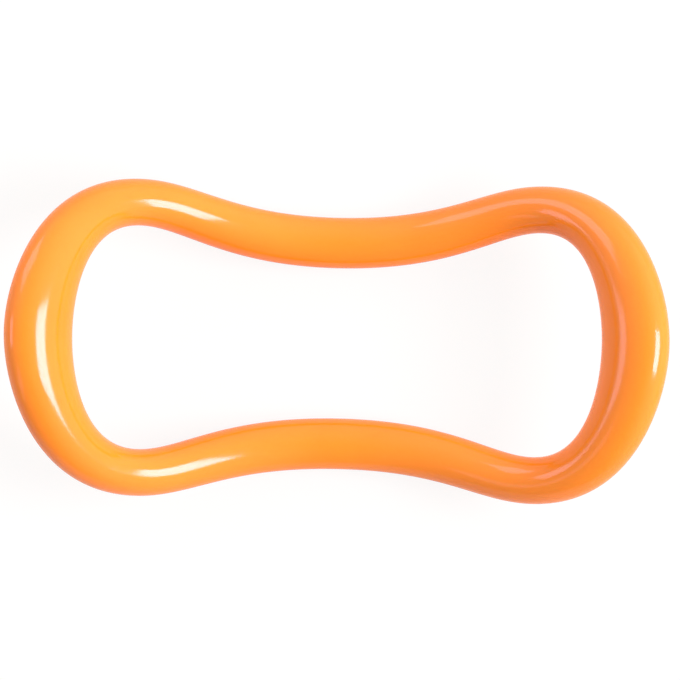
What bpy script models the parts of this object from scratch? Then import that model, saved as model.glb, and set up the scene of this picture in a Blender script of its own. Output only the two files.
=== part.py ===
# Yoga ring: a hollow, bowed, peanut-shaped tube made of two moulded half shells that are cemented together.
# X runs along the ring, Y across it and Z up. It rests on the middle of its two rails and its ends curve up.
# The shells part where the bowed tube's walls stand upright, so that each half lifts straight off its mould.

import math
from collections import namedtuple

import bmesh
import bpy
from mathutils import Matrix, Vector
from mathutils.geometry import interpolate_bezier

# Centreline of one quarter of the ring, seen from above and unrolled flat, in metres
end_reach = 0.1186
end_handle = 0.0176
lobe_reach = 0.0746
lobe_offset = 0.0487
lobe_handle = 0.0315
waist_offset = 0.0366
waist_handle = 0.0414

# Radius of the bow that lifts the two ends above the middle, measured to the centreline
bow_radius = 0.1430

# Tube section: half its width in the ring's own plane, and half its depth across that plane
end_half_width = 0.0139
lobe_half_width = 0.0085
waist_half_width = 0.0093
end_half_depth = 0.0097
lobe_half_depth = 0.0087
waist_half_depth = 0.0085

# Moulding
wall = 0.0030
fit_gap = 0.0003
rest_land_depth = 0.0005

# Tongue, groove and cement along both rims, set a little inward because the outer wall curls under them
tongue_thickness = 0.0008
tongue_height = 0.0012
bead_height = 0.0005
rim_middle_share = 0.54

# Cross ribs, short of the seam so that they never hold the halves apart
rib_thickness = 0.0016
rib_setback = 0.0040
ribs_per_quarter = 3

# Locating posts with tapered pins in the upper half and sockets in the lower one
post_radius = 0.0032
pin_radius = 0.0015
pin_tip_radius = 0.0012
pin_length = 0.0050

# Facets
steps_per_span = 10
outer_arc_steps = 12
inner_arc_steps = 8
post_sides = 16
pin_sides = 12
crease_angle = math.radians(35)

# Derived sizes
quarter_steps = 2 * steps_per_span
groove_width = tongue_thickness + 2 * fit_gap
groove_depth = tongue_height + bead_height + fit_gap
waist_height = waist_half_depth - rest_land_depth
plate_span = 4 * max(end_half_depth, waist_half_depth, end_half_width)

# Colours, linear, with roughness
shell_colour = (0.95, 0.33, 0.04, 1.0)
cement_colour = (0.80, 0.50, 0.22, 1.0)
shell_roughness = 0.18
cement_roughness = 0.45

Station = namedtuple("Station", "centre normal half_width half_depth slope up")


def clear_scene():
    for item in list(bpy.data.objects):
        bpy.data.objects.remove(item, do_unlink=True)


def new_collection(name):
    collection = bpy.data.collections.new(name)
    bpy.context.scene.collection.children.link(collection)
    return collection


def plastic(name, colour, roughness):
    material = bpy.data.materials.new(name)
    material.use_nodes = True
    shader = material.node_tree.nodes["Principled BSDF"]
    shader.inputs["Base Color"].default_value = colour
    shader.inputs["Roughness"].default_value = roughness
    shader.inputs["Metallic"].default_value = 0.0
    material.diffuse_color = colour
    return material


def closed_mesh(name, form):
    # Lofted faces are slightly twisted, so flat triangles keep the later trims exact
    bmesh.ops.recalc_face_normals(form, faces=form.faces)
    bmesh.ops.triangulate(form, faces=form.faces)
    mesh = bpy.data.meshes.new(name)
    form.to_mesh(mesh)
    form.free()
    return mesh


def add_part(name, form, collection, material):
    mesh = closed_mesh(name, form)
    mesh.shade_smooth()
    mesh.set_sharp_from_angle(angle=crease_angle)
    mesh.materials.append(material)
    part = bpy.data.objects.new(name, mesh)
    collection.objects.link(part)
    return part


def add_cutter(name, form, collection):
    cutter = bpy.data.objects.new(name, closed_mesh(name, form))
    cutter.hide_render = True
    cutter.display_type = "WIRE"
    collection.objects.link(cutter)
    return cutter


def combine(part, operation, other):
    modifier = part.modifiers.new(f"{operation.lower()} {other.name}", "BOOLEAN")
    modifier.operation = operation
    modifier.solver = "EXACT"
    modifier.object = other


def eased(start, finish, share):
    return start + (finish - start) * share * share * (3 - 2 * share)


def bowed(x, y, z):
    # Wraps a point of the flat layout round the bow, whose axis lies above the ring
    reach = bow_radius - z
    slope = x / bow_radius
    return Vector((reach * math.sin(slope), y, waist_height + bow_radius - reach * math.cos(slope)))


def quarter_points():
    # The lobe's inner handle makes the curvature run on unbroken through the lobe
    lobe_inner_handle = lobe_handle * math.sqrt((lobe_offset - waist_offset) / (lobe_offset - end_handle))
    end = (Vector((end_reach, 0, 0)), end_half_width, end_half_depth)
    lobe = (Vector((lobe_reach, lobe_offset, 0)), lobe_half_width, lobe_half_depth)
    waist = (Vector((0, waist_offset, 0)), waist_half_width, waist_half_depth)
    spans = (
        (end, Vector((end_reach, end_handle, 0)), Vector((lobe_reach + lobe_handle, lobe_offset, 0)), lobe),
        (lobe, Vector((lobe_reach - lobe_inner_handle, lobe_offset, 0)),
         Vector((waist_handle, waist_offset, 0)), waist),
    )
    points = []
    for start, start_handle, finish_handle, finish in spans:
        curve = interpolate_bezier(start[0], start_handle, finish_handle, finish[0], steps_per_span + 1)
        for step, centre in enumerate(curve[:-1]):
            share = step / steps_per_span
            half_width = eased(start[1], finish[1], share)
            half_depth = eased(start[2], finish[2], share)
            points.append((centre.x, centre.y, half_width, half_depth))
    points.append((0.0, waist_offset, waist_half_width, waist_half_depth))
    return points


def ring_stations():
    right = quarter_points()
    left = [(-x, y, width, depth) for x, y, width, depth in reversed(right[:-1])]
    back = right + left
    front = [(x, -y, width, depth) for x, y, width, depth in reversed(back[1:-1])]
    loop = back + front
    stations = []
    for index, (x, y, half_width, half_depth) in enumerate(loop):
        before = loop[index - 1]
        after = loop[(index + 1) % len(loop)]
        along = Vector((after[0] - before[0], after[1] - before[1])).normalized()
        normal = Vector((along.y, -along.x))
        slope = x / bow_radius
        up = Vector((normal.x * math.sin(slope), math.cos(slope))).normalized()
        stations.append(Station(Vector((x, y)), normal, half_width, half_depth, slope, up))
    return stations


def placed(station, across, height):
    flat = station.centre + station.normal * across
    return bowed(flat.x, flat.y, height)


def seam_direction(station):
    # Points from the tube's middle to where its outer wall stands parallel to the mould's draw
    angle = math.atan2(-station.half_depth * station.up.x, station.half_width * station.up.y)
    rim = Vector((station.half_width * math.cos(angle), station.half_depth * math.sin(angle)))
    return rim.normalized()


def half_arc(station, inset, side, lift, steps):
    # Half of the ellipse that lies inset from the tube's surface, on one side of the seam and lifted off it
    half_width = station.half_width - inset
    half_depth = station.half_depth - inset
    seam = seam_direction(station)
    start = math.atan2(seam.y / half_depth, seam.x / half_width)
    pace = math.hypot(half_width * math.sin(start), half_depth * math.cos(start))
    trim = lift / pace
    points = []
    for step in range(steps + 1):
        angle = start + side * (trim + (math.pi - 2 * trim) * step / steps)
        points.append(Vector((half_width * math.cos(angle), half_depth * math.sin(angle))))
    return points


def rim_step(outside, inside, width, reach, up):
    # The tongue or groove across a rim, from the outer wall's side to the inner wall's side
    share = width / 2 / (inside - outside).length
    near = outside.lerp(inside, rim_middle_share - share)
    far = outside.lerp(inside, rim_middle_share + share)
    return [near, near - up * reach, far - up * reach, far]


def shell_section(station, side):
    width = tongue_thickness if side > 0 else groove_width
    reach = tongue_height if side > 0 else groove_depth
    outer = half_arc(station, 0.0, side, fit_gap / 2, outer_arc_steps)
    inner = half_arc(station, wall, side, fit_gap / 2, inner_arc_steps)
    far_rim = rim_step(outer[-1], inner[-1], width, reach, station.up)
    near_rim = rim_step(outer[0], inner[0], width, reach, station.up)
    return outer + far_rim + inner[::-1] + near_rim[::-1]


def bead_section(station, side):
    outer = half_arc(station, 0.0, 1, 0.0, 1)
    inner = half_arc(station, wall, 1, 0.0, 1)
    rim = 0 if side > 0 else -1
    top = tongue_height + fit_gap / 2
    edges = rim_step(outer[rim], inner[rim], tongue_thickness, top, station.up)
    drop = station.up * bead_height
    return [edges[1], edges[2], edges[2] - drop, edges[1] - drop]


def loft(stations, section):
    form = bmesh.new()
    rings = []
    for station in stations:
        rings.append([form.verts.new(placed(station, point.x, point.y)) for point in section(station)])
    for ring, following in zip(rings, rings[1:] + rings[:1]):
        ring_after = ring[1:] + ring[:1]
        following_after = following[1:] + following[:1]
        for corners in zip(ring, ring_after, following_after, following):
            form.faces.new(corners)
    return form


def core(stations, side, setback):
    # Fills one half of the tube to the middle of its wall, for trimming what stands inside
    return loft(stations, lambda station: half_arc(station, wall / 2, side, setback, outer_arc_steps))


def rib_plates(stations):
    form = bmesh.new()
    spacing = quarter_steps / (ribs_per_quarter + 1)
    for quarter in range(4):
        for rib in range(1, ribs_per_quarter + 1):
            station = stations[quarter * quarter_steps + round(rib * spacing)]
            turn = math.atan2(station.normal.y, station.normal.x)
            place = Matrix.Translation(placed(station, 0.0, 0.0))
            size = Matrix.Diagonal((plate_span, rib_thickness, plate_span, 1))
            bmesh.ops.create_cube(form, size=1.0, matrix=place @ Matrix.Rotation(turn, 4, "Z") @ size)
    return form


def post_columns(stations, low_radius, high_radius, bottom, top, sides):
    # Upright columns at both ends and both waists, their heights measured from the tube's middle
    form = bmesh.new()
    for quarter in range(4):
        foot = placed(stations[quarter * quarter_steps], 0.0, 0.0)
        place = Matrix.Translation(foot + Vector((0, 0, (bottom + top) / 2)))
        bmesh.ops.create_cone(
            form, cap_ends=True, segments=sides, radius1=low_radius, radius2=high_radius,
            depth=top - bottom, matrix=place)
    return form


def rest_block():
    # Everything below the plane that the ring rests on
    form = bmesh.new()
    size = Matrix.Diagonal((4 * end_reach, 4 * lobe_offset, plate_span, 1))
    bmesh.ops.create_cube(form, size=1.0, matrix=Matrix.Translation((0, 0, -plate_span / 2)) @ size)
    return form


def add_insides(shell, stations, side, cutters):
    ribs = add_cutter(f"{shell.name} ribs", core(stations, side, rib_setback), cutters)
    combine(ribs, "INTERSECT", add_cutter(f"{shell.name} plates", rib_plates(stations), cutters))
    combine(shell, "UNION", ribs)
    posts = add_cutter(f"{shell.name} posts", core(stations, side, fit_gap / 2), cutters)
    columns = post_columns(stations, post_radius, post_radius, -plate_span, plate_span, post_sides)
    combine(posts, "INTERSECT", add_cutter(f"{shell.name} columns", columns, cutters))
    combine(shell, "UNION", posts)


def build_upper_shell(stations, parts, cutters):
    material = plastic("upper shell plastic", shell_colour, shell_roughness)
    form = loft(stations, lambda station: shell_section(station, 1))
    shell = add_part("upper_shell", form, parts, material)
    add_insides(shell, stations, 1, cutters)
    pins = post_columns(stations, pin_tip_radius, pin_radius, -pin_length, pin_length / 2, pin_sides)
    combine(shell, "UNION", add_cutter("locating pins", pins, cutters))


def build_lower_shell(stations, parts, cutters):
    material = plastic("lower shell plastic", shell_colour, shell_roughness)
    form = loft(stations, lambda station: shell_section(station, -1))
    shell = add_part("lower_shell", form, parts, material)
    add_insides(shell, stations, -1, cutters)
    socket_radius = pin_radius + fit_gap
    socket_tip_radius = pin_tip_radius + fit_gap
    socket_depth = pin_length + fit_gap
    sockets = post_columns(stations, socket_tip_radius, socket_radius, -socket_depth, pin_length / 2, pin_sides)
    combine(shell, "DIFFERENCE", add_cutter("pin sockets", sockets, cutters))
    combine(shell, "DIFFERENCE", add_cutter("rest plane", rest_block(), cutters))


def build_seam_beads(stations, parts):
    for name, side in (("outer_seam_bead", 1), ("inner_seam_bead", -1)):
        material = plastic(f"{name} cement", cement_colour, cement_roughness)
        add_part(name, loft(stations, lambda station: bead_section(station, side)), parts, material)


def build():
    clear_scene()
    parts = new_collection("Yoga ring")
    cutters = new_collection("Yoga ring cutters")
    stations = ring_stations()
    build_upper_shell(stations, parts, cutters)
    build_lower_shell(stations, parts, cutters)
    build_seam_beads(stations, parts)


build()
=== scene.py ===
import math

import bmesh
import bpy
import numpy as np
from mathutils import Matrix, Vector
from mathutils.kdtree import KDTree


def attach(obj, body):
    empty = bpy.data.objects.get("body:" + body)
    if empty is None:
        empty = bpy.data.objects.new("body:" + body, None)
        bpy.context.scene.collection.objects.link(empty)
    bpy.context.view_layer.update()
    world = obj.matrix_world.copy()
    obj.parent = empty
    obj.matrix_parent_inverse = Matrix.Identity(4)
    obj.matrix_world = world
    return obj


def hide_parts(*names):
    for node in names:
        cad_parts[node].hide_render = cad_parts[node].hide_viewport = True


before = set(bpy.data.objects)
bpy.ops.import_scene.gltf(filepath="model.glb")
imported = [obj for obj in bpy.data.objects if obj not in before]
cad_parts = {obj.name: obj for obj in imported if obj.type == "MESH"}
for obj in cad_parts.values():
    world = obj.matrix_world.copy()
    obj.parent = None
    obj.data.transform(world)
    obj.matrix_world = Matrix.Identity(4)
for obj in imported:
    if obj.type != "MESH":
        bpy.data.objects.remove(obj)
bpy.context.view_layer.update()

# Yoga ring: a glossy orange tube, peanut-shaped from above, whose two ends curve up.
# It is two moulded half shells, cemented along a tongue and groove, with ribs and posts inside.
# Lengths are in metres, and the form is the same as that of the solids.

ringForm = {
    "endReach": 0.1186,
    "endHandle": 0.0176,
    "lobeReach": 0.0746,
    "lobeOffset": 0.0487,
    "lobeHandle": 0.0315,
    "waistOffset": 0.0366,
    "waistHandle": 0.0414,
    "bowRadius": 0.1430,
    "halfWidths": (0.0139, 0.0085, 0.0093),  # end, lobe, waist
    "halfDepths": (0.0097, 0.0087, 0.0085),
    "restLandDepth": 0.0005,
    "stepsPerSpan": 48,
}
ringForm["waistHeight"] = ringForm["halfDepths"][2] - ringForm["restLandDepth"]

shellForm = {
    "wall": 0.0030,
    "skinInset": 0.00007,  # keeps the finer skin inside the solids' own box
    "seamGap": 0.00003,
    "seamRound": 0.00012,
    "outerSteps": 56,
    "roundSteps": 3,
    "innerSteps": 14,
    "tongueThickness": 0.0008,
    "tongueHeight": 0.0012,
    "beadHeight": 0.0005,
    "fitGap": 0.0003,
    "rimMiddleShare": 0.54,
    "seamBandWidth": 0.0012,
    "creaseAngle": 35,  # degrees, above which an edge stays sharp
    "landTolerance": 0.000001,
}

insideForm = {
    "ribThickness": 0.0016,
    "ribSetback": 0.0040,
    "ribSteps": 20,
    "ribsPerQuarter": 3,
    "postRadius": 0.0032,
    "postSides": 32,
    "postCoreSteps": 40,
    "pinRadius": 0.0015,
    "pinTipRadius": 0.0012,
    "pinLength": 0.0050,
}


def easedBetween(start, finish, share):
    return start + (finish - start) * share * share * (3 - 2 * share)


def cubicCurve(ends, share):
    first, second, third, fourth = (np.array(point) for point in ends)
    share = share[:, None]
    back = 1 - share
    return back**3 * first + 3 * back**2 * share * second + 3 * back * share**2 * third + share**3 * fourth


def quarterLine(form):
    # Centreline from the right end round the lobe to the back rail's waist
    lobeInnerHandle = form["lobeHandle"] * math.sqrt(
        (form["lobeOffset"] - form["waistOffset"]) / (form["lobeOffset"] - form["endHandle"]))
    end = (form["endReach"], 0)
    lobe = (form["lobeReach"], form["lobeOffset"])
    waist = (0, form["waistOffset"])
    spans = (
        (end, (form["endReach"], form["endHandle"]), (lobe[0] + form["lobeHandle"], lobe[1]), lobe),
        (lobe, (lobe[0] - lobeInnerHandle, lobe[1]), (form["waistHandle"], waist[1]), waist),
    )
    rows = []
    for number, ends in enumerate(spans):
        share = np.linspace(0, 1, form["stepsPerSpan"] + 1)
        width = easedBetween(form["halfWidths"][number], form["halfWidths"][number + 1], share)
        depth = easedBetween(form["halfDepths"][number], form["halfDepths"][number + 1], share)
        rows.append(np.column_stack([cubicCurve(ends, share), width, depth]))
    return np.vstack([rows[0], rows[1][1:]])


def ringLine(form):
    # The whole closed centreline, mirrored from its quarter, with each station's directions and section
    quarter = quarterLine(form)
    back = np.vstack([quarter, quarter[-2::-1] * (-1, 1, 1, 1)])
    loop = np.vstack([back, back[-2:0:-1] * (1, -1, 1, 1)])
    along = np.roll(loop[:, :2], -1, axis=0) - np.roll(loop[:, :2], 1, axis=0)
    along /= np.linalg.norm(along, axis=1)[:, None]
    slope = loop[:, 0] / form["bowRadius"]
    up = np.column_stack([along[:, 1] * np.sin(slope), np.cos(slope)])
    return {
        "centre": loop[:, :2],
        "normal": np.column_stack([along[:, 1], -along[:, 0]]),
        "halfWidth": loop[:, 2],
        "halfDepth": loop[:, 3],
        "up": up / np.linalg.norm(up, axis=1)[:, None],
    }


def bowedPoints(form, flat, height):
    # Wraps the flat layout round the bow, whose axis lies above the ring
    reach = form["bowRadius"] - height
    slope = flat[..., 0] / form["bowRadius"]
    lift = form["waistHeight"] + form["bowRadius"] - reach * np.cos(slope)
    return np.stack([reach * np.sin(slope), flat[..., 1], lift], axis=-1)


def sectionPoints(form, line, section):
    # section holds each station's points as (across, height)
    flat = line["centre"][:, None] + line["normal"][:, None] * section[..., :1]
    return bowedPoints(form, flat, section[..., 1])


def seamAngles(line):
    # Where the outer wall stands upright, as an angle round the section's ellipse
    return np.arctan2(-line["halfDepth"] * line["up"][:, 0], line["halfWidth"] * line["up"][:, 1])


def halfArc(line, inset, side, lift, steps):
    # Half of each section's ellipse, above the seam where side is 1 and below it where side is -1
    width = line["halfWidth"] - inset
    depth = line["halfDepth"] - inset
    seam = seamAngles(line)
    rim = np.arctan2(line["halfDepth"] * np.sin(seam) / depth, line["halfWidth"] * np.cos(seam) / width)
    trim = lift / np.hypot(width * np.sin(rim), depth * np.cos(rim))
    share = np.linspace(0, 1, steps + 1)
    angle = rim[:, None] + side * (trim[:, None] + (math.pi - 2 * trim)[:, None] * share)
    return np.stack([width[:, None] * np.cos(angle), depth[:, None] * np.sin(angle)], axis=-1)


def rimStep(outside, inside, width, reach, up):
    # The tongue's outline on the upper rim, or the groove's in the lower one
    gap = np.linalg.norm(inside - outside, axis=1)[:, None]
    share = width / 2 / gap
    near = outside + (inside - outside) * (shellForm["rimMiddleShare"] - share)
    far = outside + (inside - outside) * (shellForm["rimMiddleShare"] + share)
    return np.stack([near, near - up * reach, far - up * reach, far], axis=1)


def roundedRim(arcEnd, corner, inside, radius, steps):
    # From the outer arc's end over a small rounded edge on to the rim
    onRim = corner + (inside - corner) / np.linalg.norm(inside - corner, axis=1)[:, None] * radius
    share = np.linspace(0, 1, steps + 2)[None, 1:, None]
    back = 1 - share
    return back**2 * arcEnd[:, None] + 2 * back * share * corner[:, None] + share**2 * onRim[:, None]


def shellSection(line, form, side):
    lift = form["seamGap"] / 2
    outer = halfArc(line, form["skinInset"], side, lift + form["seamRound"], form["outerSteps"])
    corners = halfArc(line, form["skinInset"], side, lift, 1)
    inner = halfArc(line, form["wall"], side, lift, form["innerSteps"])
    if side > 0:
        width, reach = form["tongueThickness"], form["tongueHeight"]
    else:
        width = form["tongueThickness"] + 2 * form["fitGap"]
        reach = form["tongueHeight"] + form["beadHeight"] + form["fitGap"]
    rims = []
    for index in (-1, 0):
        corner, inside = corners[:, index], inner[:, index]
        edge = roundedRim(outer[:, index], corner, inside, form["seamRound"], form["roundSteps"])
        step = rimStep(corner, inside, width, reach, line["up"])
        rims.append(np.concatenate([edge, step], axis=1))
    return np.concatenate([outer, rims[0], inner[:, ::-1], rims[1][:, ::-1]], axis=1)


def loftedMesh(name, points):
    # Closes a ring of closed sections into a tube of four-sided faces
    stations, corners = points.shape[:2]
    index = np.arange(stations * corners).reshape(stations, corners)
    ahead = np.roll(index, -1, axis=0)
    faces = np.stack([index, np.roll(index, -1, axis=1), np.roll(ahead, -1, axis=1), ahead], axis=-1)
    mesh = bpy.data.meshes.new(name)
    mesh.from_pydata(points.reshape(-1, 3).tolist(), [], faces.reshape(-1, 4).tolist())
    return mesh


def outwardMesh(mesh):
    # Triangles that all face outwards, as the Boolean solver needs
    form = bmesh.new()
    form.from_mesh(mesh)
    bmesh.ops.recalc_face_normals(form, faces=form.faces)
    bmesh.ops.triangulate(form, faces=form.faces)
    form.to_mesh(mesh)
    form.free()
    return mesh


def placedObject(name, mesh):
    piece = bpy.data.objects.new(name, mesh)
    bpy.context.scene.collection.objects.link(piece)
    return piece


def joined(piece, operation, tools):
    # Applies each tool to the piece and then removes the tool
    for tool in tools:
        step = piece.modifiers.new(operation.lower(), "BOOLEAN")
        step.operation = operation
        step.solver = "MANIFOLD"
        step.object = tool
    depsgraph = bpy.context.evaluated_depsgraph_get()
    mesh = bpy.data.meshes.new_from_object(piece.evaluated_get(depsgraph))
    piece.modifiers.clear()
    piece.data = mesh
    for tool in tools:
        bpy.data.objects.remove(tool)
    return piece


def ribTools(line, side):
    # Cross ribs that reach from mid-wall to just short of the seam
    arc = halfArc(line, shellForm["wall"] / 2, side, insideForm["ribSetback"], insideForm["ribSteps"])
    spots = sectionPoints(ringForm, line, arc)
    stationsPerQuarter = 2 * ringForm["stepsPerSpan"]
    spacesPerQuarter = insideForm["ribsPerQuarter"] + 1
    tools = []
    for number in range(4 * spacesPerQuarter):
        if number % spacesPerQuarter == 0:  # a post stands there
            continue
        station = round(number * stationsPerQuarter / spacesPerQuarter)
        along = spots[(station + 1) % len(spots)].mean(axis=0) - spots[station - 1].mean(axis=0)
        along *= insideForm["ribThickness"] / 2 / np.linalg.norm(along)
        rings = np.concatenate([spots[station] - along, spots[station] + along])
        count = len(spots[station])
        faces = [list(range(count)), list(range(2 * count - 1, count - 1, -1))]
        faces += [[(k + 1) % count, k, k + count, (k + 1) % count + count] for k in range(count)]
        mesh = bpy.data.meshes.new("rib")
        mesh.from_pydata(rings.tolist(), [], faces)
        tools.append(placedObject(f"rib {number}", outwardMesh(mesh)))
    return tools


def columnTool(name, spot, lowRadius, highRadius, bottom, top):
    form = bmesh.new()
    place = Matrix.Translation(Vector(spot) + Vector((0, 0, (bottom + top) / 2)))
    bmesh.ops.create_cone(
        form, cap_ends=True, segments=insideForm["postSides"], radius1=lowRadius, radius2=highRadius,
        depth=top - bottom, matrix=place)
    mesh = bpy.data.meshes.new(name)
    form.to_mesh(mesh)
    form.free()
    return placedObject(name, outwardMesh(mesh))


def postSpots(line):
    # The tube's middle at both ends and at both waists
    middle = sectionPoints(ringForm, line, np.zeros((len(line["centre"]), 1, 2)))[:, 0]
    return middle[:: 2 * ringForm["stepsPerSpan"]]


def blockTool(name, low, high):
    form = bmesh.new()
    low, high = Vector(low), Vector(high)
    place = Matrix.Translation((low + high) / 2) @ Matrix.Diagonal((*(high - low), 1))
    bmesh.ops.create_cube(form, size=1.0, matrix=place)
    mesh = bpy.data.meshes.new(name)
    form.to_mesh(mesh)
    form.free()
    return placedObject(name, outwardMesh(mesh))


def addRibsAndPosts(shell, line, side, spots, reach):
    # Both start inside the shell's own wall, so that they join it
    radius = insideForm["postRadius"]
    core = halfArc(line, shellForm["wall"] / 2, side, shellForm["seamGap"] / 2, insideForm["postCoreSteps"])
    posts = placedObject("posts", outwardMesh(loftedMesh("posts", sectionPoints(ringForm, line, core))))
    columns = [
        columnTool(f"column {number}", spot, radius, radius, -reach, reach)
        for number, spot in enumerate(spots)
    ]
    columnSet = joined(columns[0], "UNION", columns[1:])
    joined(posts, "INTERSECT", [columnSet])
    joined(shell, "UNION", ribTools(line, side) + [posts])


def addPins(shell, side, spots):
    # Tapered pins on the upper shell's posts, and their sockets in the lower one's
    gap = 0.0 if side > 0 else shellForm["fitGap"]
    pins = [
        columnTool(
            f"pin {number}", spot, insideForm["pinTipRadius"] + gap, insideForm["pinRadius"] + gap,
            -insideForm["pinLength"] - gap, insideForm["pinLength"] / 2)
        for number, spot in enumerate(spots)
    ]
    joined(shell, "UNION" if side > 0 else "DIFFERENCE", pins)


def liesOnLand(face):
    return all(abs(vert.co.z) < shellForm["landTolerance"] for vert in face.verts)


def markEdges(mesh):
    # Smooth faces, with creases kept sharp and the flat rest lands cut off crisply
    mesh.shade_smooth()
    mesh.set_sharp_from_angle(angle=math.radians(shellForm["creaseAngle"]))
    form = bmesh.new()
    form.from_mesh(mesh)
    for edge in form.edges:
        flat = [liesOnLand(face) for face in edge.link_faces]
        if any(flat) and not all(flat):
            edge.smooth = False
    form.to_mesh(mesh)
    form.free()


def addSeamBand(mesh, line):
    # Stores how near each point lies to the parting line, for the buffed band along it
    corners = sectionPoints(ringForm, line, halfArc(line, 0.0, 1, 0.0, 1)).reshape(-1, 3)
    tree = KDTree(len(corners))
    for number, corner in enumerate(corners):
        tree.insert(corner, number)
    tree.balance()
    values = []
    for vert in mesh.vertices:
        distance = tree.find(vert.co)[2]
        values.append(max(0.0, 1 - distance / shellForm["seamBandWidth"]))
    mesh.attributes.new("seamBand", "FLOAT", "POINT").data.foreach_set("value", values)


def buildShell(name, node, side, material):
    line = ringLine(ringForm)
    points = sectionPoints(ringForm, line, shellSection(line, shellForm, side))
    shell = placedObject(name, outwardMesh(loftedMesh(name, points)))
    reach = 2 * max(ringForm["halfWidths"])
    spots = postSpots(line)
    addRibsAndPosts(shell, line, side, spots, reach)
    addPins(shell, side, spots)
    if side < 0:
        span = 2 * ringForm["endReach"]
        joined(shell, "DIFFERENCE", [blockTool("rest plane", (-span, -span, -reach), (span, span, 0))])
    markEdges(shell.data)
    addSeamBand(shell.data, line)
    shell.data.materials.clear()  # the Booleans leave an empty slot
    shell.data.materials.append(material)
    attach(shell, "root")
    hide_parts(node)
    print(f"{name}: {len(shell.data.polygons)} faces")


def fillInputs(tree, node, values):
    # Links a value that is another node's output, and sets any other
    for key, value in values.items():
        if isinstance(value, bpy.types.NodeSocket):
            tree.links.new(value, node.inputs[key])
        else:
            node.inputs[key].default_value = value


def addNode(tree, kind, settings=None, values=None):
    node = tree.nodes.new(kind)
    for key, value in (settings or {}).items():
        setattr(node, key, value)
    fillInputs(tree, node, values or {})
    return node


def mathValue(tree, operation, *values, clamp=False):
    settings = {"operation": operation, "use_clamp": clamp}
    return addNode(tree, "ShaderNodeMath", settings, dict(enumerate(values))).outputs[0]


def mixedValue(tree, share, low, high):
    mix = addNode(tree, "ShaderNodeMix", {"data_type": "FLOAT"}, {"Factor": share, 2: low, 3: high})
    return mix.outputs[0]


def mixedColour(tree, share, low, high):
    mix = addNode(tree, "ShaderNodeMix", {"data_type": "RGBA"}, {"Factor": share, 6: low, 7: high})
    return mix.outputs[2]


def startGroup(name, inputs, outputs):
    # inputs and outputs give the kind of each socket
    group = bpy.data.node_groups.new(name, "ShaderNodeTree")
    for direction, sockets in (("INPUT", inputs), ("OUTPUT", outputs)):
        for socket, kind in sockets.items():
            group.interface.new_socket(name=socket, in_out=direction, socket_type=f"NodeSocket{kind}")
    return group, addNode(group, "NodeGroupInput").outputs


driftPattern = {
    "patches": {"Detail": 3.0, "Roughness": 0.55, "Distortion": 0.6},
    "flecks": {"Detail": 2.0, "Roughness": 0.6},
    "fleckShare": 0.3,
    "range": {"From Min": 0.45, "From Max": 0.85},
}


def colourDriftGroup():
    # Pigment that mixed a little unevenly as the plastic flowed
    inputs = {
        "Position": "Vector", "Colour": "Color", "Pale Colour": "Color",
        "Patch Scale": "Float", "Fleck Scale": "Float", "Amount": "Float"}
    group, enter = startGroup("colourDrift", inputs, {"Colour": "Color"})
    place = {"Vector": enter["Position"]}
    patches = addNode(group, "ShaderNodeTexNoise", values={
        **place, "Scale": enter["Patch Scale"], **driftPattern["patches"]})
    flecks = addNode(group, "ShaderNodeTexNoise", values={
        **place, "Scale": enter["Fleck Scale"], **driftPattern["flecks"]})
    both = mathValue(
        group, "MULTIPLY_ADD", flecks.outputs["Fac"], driftPattern["fleckShare"], patches.outputs["Fac"])
    spread = addNode(group, "ShaderNodeMapRange", values={"Value": both, **driftPattern["range"]})
    share = mathValue(group, "MULTIPLY", spread.outputs["Result"], enter["Amount"])
    addNode(group, "NodeGroupOutput", values={
        "Colour": mixedColour(group, share, enter["Colour"], enter["Pale Colour"])})
    return group


polishPattern = {
    "smears": {"Detail": 4.0, "Roughness": 0.6, "Distortion": 1.2},
    "smearRange": {"From Min": 0.42, "From Max": 0.72},
    "scratchLay": {"Rotation": (0.5, 0.3, 0.7), "Scale": (0.06, 1.0, 1.0)},
    "scratchRange": {"From Min": 0.0, "From Max": 0.012, "To Min": 1.0, "To Max": 0.0},
    "scratchRoughness": 0.12,
    "scratchHeight": -0.5,
    "peel": {"Detail": 1.0, "Roughness": 0.4},
}


def polishGroup():
    # A polished moulding: smears from hands, hairline scratches where it is smeared and faint orange peel
    inputs = {
        "Position": "Vector", "Clean Roughness": "Float", "Smear Roughness": "Float",
        "Smear Scale": "Float", "Scratch Scale": "Float", "Peel Scale": "Float"}
    group, enter = startGroup("polish", inputs, {"Roughness": "Float", "Height": "Float"})
    place = {"Vector": enter["Position"]}
    smears = addNode(group, "ShaderNodeTexNoise", values={
        **place, "Scale": enter["Smear Scale"], **polishPattern["smears"]})
    smeared = addNode(group, "ShaderNodeMapRange", values={
        "Value": smears.outputs["Fac"], **polishPattern["smearRange"]}).outputs["Result"]
    lay = addNode(group, "ShaderNodeMapping", values={**place, **polishPattern["scratchLay"]})
    cells = addNode(group, "ShaderNodeTexVoronoi", {"feature": "DISTANCE_TO_EDGE"}, {
        "Vector": lay.outputs["Vector"], "Scale": enter["Scratch Scale"]})
    scratches = addNode(group, "ShaderNodeMapRange", values={
        "Value": cells.outputs["Distance"], **polishPattern["scratchRange"]})
    worn = mathValue(group, "MULTIPLY", scratches.outputs["Result"], smeared)
    base = mixedValue(group, smeared, enter["Clean Roughness"], enter["Smear Roughness"])
    peel = addNode(group, "ShaderNodeTexNoise", values={
        **place, "Scale": enter["Peel Scale"], **polishPattern["peel"]})
    rough = mathValue(group, "MULTIPLY_ADD", worn, polishPattern["scratchRoughness"], base, clamp=True)
    height = mathValue(group, "MULTIPLY_ADD", worn, polishPattern["scratchHeight"], peel.outputs["Fac"])
    addNode(group, "NodeGroupOutput", values={"Roughness": rough, "Height": height})
    return group


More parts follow.
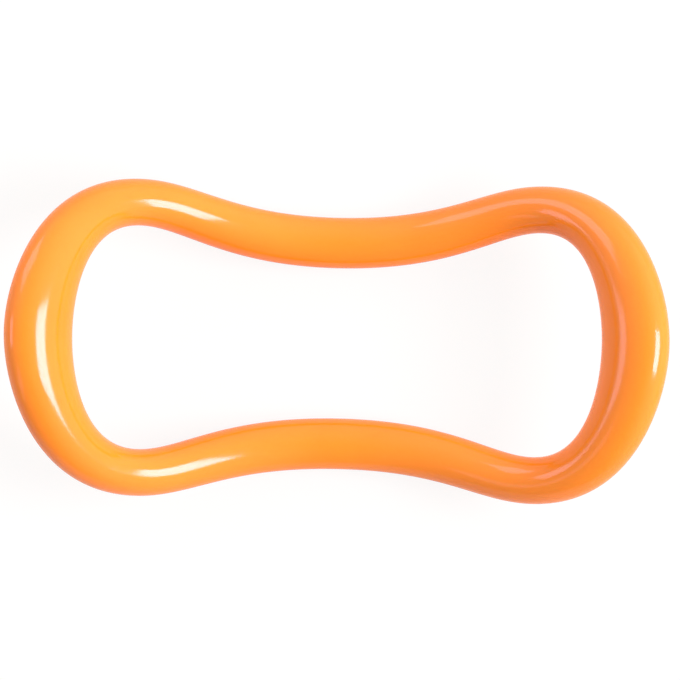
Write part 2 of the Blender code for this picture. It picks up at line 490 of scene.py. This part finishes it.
shellFinish = {
    "colour": (1.0, 0.272, 0.014, 1.0),
    "paleColour": (1.0, 0.325, 0.030, 1.0),
    "driftAmount": 0.3,
    "patchScale": 26.0,
    "fleckScale": 800.0,
    "cleanRoughness": 0.12,
    "smearRoughness": 0.17,
    "smearScale": 45.0,
    "scratchScale": 60.0,
    "seamRoughness": 0.10,  # added along the buffed parting line
    "index": 1.57,  # of refraction
    "glossTint": (1.0, 0.72, 1.0, 1.0),  # turns reflections slightly pink
    "peelScale": 700.0,
    "peelDepth": 0.000002,
    "waxiness": 0.10,
    "waxReach": (0.003, 0.001, 0.0003),  # how far red, green and blue light spread inside
}

cementFinish = {
    "colour": (0.80, 0.50, 0.22, 1.0),
    "paleColour": (0.86, 0.62, 0.36, 1.0),
    "driftAmount": 0.8,
    "patchScale": 180.0,
    "fleckScale": 2500.0,
    "cleanRoughness": 0.38,
    "smearRoughness": 0.60,
    "smearScale": 45.0,
    "scratchScale": 60.0,
    "seamRoughness": 0.0,
    "index": 1.47,
    "glossTint": (1.0, 1.0, 1.0, 1.0),
    "peelScale": 700.0,
    "peelDepth": 0.00002,
    "waxiness": 0.0,
    "waxReach": (0.001, 0.001, 0.001),
}


def finishMaterial(name, finish, drift, polish):
    material = bpy.data.materials.new(name)
    material.use_nodes = True
    tree = material.node_tree
    place = addNode(tree, "ShaderNodeTexCoord").outputs["Object"]
    colour = addNode(tree, "ShaderNodeGroup", {"node_tree": drift}, {
        "Position": place, "Colour": finish["colour"], "Pale Colour": finish["paleColour"],
        "Patch Scale": finish["patchScale"], "Fleck Scale": finish["fleckScale"],
        "Amount": finish["driftAmount"]})
    surface = addNode(tree, "ShaderNodeGroup", {"node_tree": polish}, {
        "Position": place, "Clean Roughness": finish["cleanRoughness"],
        "Smear Roughness": finish["smearRoughness"], "Smear Scale": finish["smearScale"],
        "Scratch Scale": finish["scratchScale"], "Peel Scale": finish["peelScale"]})
    seam = addNode(tree, "ShaderNodeAttribute", {"attribute_name": "seamBand"}).outputs["Fac"]
    bump = addNode(tree, "ShaderNodeBump", values={
        "Strength": 1.0, "Distance": finish["peelDepth"], "Height": surface.outputs["Height"]})
    fillInputs(tree, tree.nodes["Principled BSDF"], {
        "Base Color": colour.outputs["Colour"],
        "Roughness": mathValue(
            tree, "MULTIPLY_ADD", seam, finish["seamRoughness"], surface.outputs["Roughness"], clamp=True),
        "Normal": bump.outputs["Normal"],
        "IOR": finish["index"],
        "Specular Tint": finish["glossTint"],
        "Subsurface Weight": finish["waxiness"],
        "Subsurface Radius": finish["waxReach"],
        "Subsurface Scale": 1.0,
    })
    return material


driftGroup, polishingGroup = colourDriftGroup(), polishGroup()
orange = finishMaterial("orange plastic", shellFinish, driftGroup, polishingGroup)
buildShell("upperShell", "upper_shell", 1, orange)
buildShell("lowerShell", "lower_shell", -1, orange)
cement = finishMaterial("cement", cementFinish, driftGroup, polishingGroup)
for node in ("outer_seam_bead", "inner_seam_bead"):
    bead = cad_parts[node]
    bead.data.materials.clear()
    bead.data.materials.append(cement)
print("Shells and cement dressed")


cameraSetup = {
    "turn": -1.191,  # degrees, in the picture's plane
    "tip": -2.431,
    "lean": -1.169,
    "distance": 1.4593,
    "asideX": 0.00037,
    "asideY": 0.00121,
    "lens": 212.0,
    "clipEnd": 50,
}


def addCamera(setup):
    turn = Matrix.Rotation(math.radians(setup["turn"]), 3, "Z")
    tip = Matrix.Rotation(math.radians(setup["tip"]), 3, "X")
    lean = Matrix.Rotation(math.radians(setup["lean"]), 3, "Y")
    toWorld = (turn @ tip @ lean).transposed()
    camera = bpy.data.objects.new("camera", bpy.data.cameras.new("camera"))
    camera.data.lens = setup["lens"]
    camera.data.clip_end = setup["clipEnd"]
    place = toWorld @ Vector((setup["asideX"], setup["asideY"], setup["distance"]))
    place.z += ringForm["waistHeight"]
    camera.matrix_world = Matrix.Translation(place) @ toWorld.to_4x4()
    bpy.context.scene.collection.objects.link(camera)
    bpy.context.scene.camera = camera


# Each lamp's azimuth and elevation in degrees, its distance, width and height in metres, and its watts
lamps = {
    "key softbox": (-5.8, 44.3, 2.5, 1.42, 1.05, 63.0),
    "back softbox": (133.0, 27.0, 0.75, 0.30, 0.32, 0.62),
    "left strip": (179.0, 21.0, 1.0, 0.34, 0.28, 0.72),
    "front fill": (-146.0, 28.0, 1.0, 0.20, 0.40, 0.16),
}


def addAreaLight(name, azimuth, elevation, distance, width, height, watts):
    direction = Vector((
        math.cos(math.radians(azimuth)) * math.cos(math.radians(elevation)),
        math.sin(math.radians(azimuth)) * math.cos(math.radians(elevation)),
        math.sin(math.radians(elevation))))
    lamp = bpy.data.lights.new(name, "AREA")
    lamp.shape = "RECTANGLE"
    lamp.size = width
    lamp.size_y = height
    lamp.energy = watts
    light = bpy.data.objects.new(name, lamp)
    light.location = direction * distance
    light.rotation_euler = direction.to_track_quat("Z", "Y").to_euler()
    bpy.context.scene.collection.objects.link(light)


studio = {
    "floorSize": 4.0,
    "floorColour": (0.78, 0.57, 0.53, 1.0),  # what lights the ring from below, a little warm
    "floorSeenColour": (0.88, 0.88, 0.88, 1.0),  # the same floor as the camera sees it
    "shadowShare": 0.14,  # how much of the floor's real light and shade the camera sees
    "reflectedWhite": 0.40,  # how far reflections see the white surroundings
    "fillColour": (1.0, 0.88, 0.78, 1.0),  # of the world's own light
    "backdropColour": (1.0, 1.0, 1.0, 1.0),  # of the world as the camera sees it
    "skyLevel": 0.03,
    "skySides": {  # how much the world's light grows towards each side
        (1, 0, 0): 1.46,
        (-1, 0, 0): 0.26,
        (0, 1, 0): 0.66,
        (0, 0, 1): 0.14,
        (-0.71, 0.71, 0): 0.38,
    },
}


def seenMask(tree):
    # 1 for what the camera sees straight or through glass, less for what it sees in a reflection
    path = addNode(tree, "ShaderNodeLightPath").outputs
    direct = mathValue(tree, "MAXIMUM", path["Is Camera Ray"], path["Is Transmission Ray"])
    gloss = mathValue(tree, "MULTIPLY", path["Is Glossy Ray"], studio["reflectedWhite"])
    return mathValue(tree, "MAXIMUM", direct, gloss)


def addFloor():
    form = bmesh.new()
    bmesh.ops.create_grid(form, x_segments=1, y_segments=1, size=studio["floorSize"])
    mesh = bpy.data.meshes.new("floor")
    form.to_mesh(mesh)
    form.free()
    floor = placedObject("floor", mesh)
    material = bpy.data.materials.new("pale floor")
    material.use_nodes = True
    tree = material.node_tree
    tree.nodes.clear()
    seen = addNode(tree, "ShaderNodeLightPath").outputs["Is Camera Ray"]
    plain = addNode(tree, "ShaderNodeBsdfDiffuse", values={
        "Color": mixedColour(tree, seen, studio["floorColour"], studio["floorSeenColour"])})
    white = addNode(tree, "ShaderNodeEmission", values={"Strength": 1.0})
    share = mathValue(tree, "MULTIPLY", seenMask(tree), 1 - studio["shadowShare"])
    mix = addNode(tree, "ShaderNodeMixShader", values={0: share, 1: plain.outputs[0], 2: white.outputs[0]})
    addNode(tree, "ShaderNodeOutputMaterial", values={"Surface": mix.outputs[0]})
    mesh.materials.append(material)


def addWorld():
    world = bpy.data.worlds.new("studio")
    world.use_nodes = True
    bpy.context.scene.world = world
    tree = world.node_tree
    place = addNode(tree, "ShaderNodeTexCoord").outputs["Generated"]
    level = studio["skyLevel"]
    for side, strength in studio["skySides"].items():
        facing = addNode(tree, "ShaderNodeVectorMath", {"operation": "DOT_PRODUCT"}, {0: place, 1: side})
        ahead = mathValue(tree, "MAXIMUM", facing.outputs["Value"], 0.0)
        level = mathValue(tree, "MULTIPLY_ADD", ahead, strength, level)
    seen = seenMask(tree)
    fillInputs(tree, tree.nodes["Background"], {
        "Color": mixedColour(tree, seen, studio["fillColour"], studio["backdropColour"]),
        "Strength": mixedValue(tree, seen, level, 1.0),
    })


addCamera(cameraSetup)
addFloor()
addWorld()
for name, setup in lamps.items():
    addAreaLight(name, *setup)
bpy.context.scene.view_settings.view_transform = "Standard"
print("Studio set")
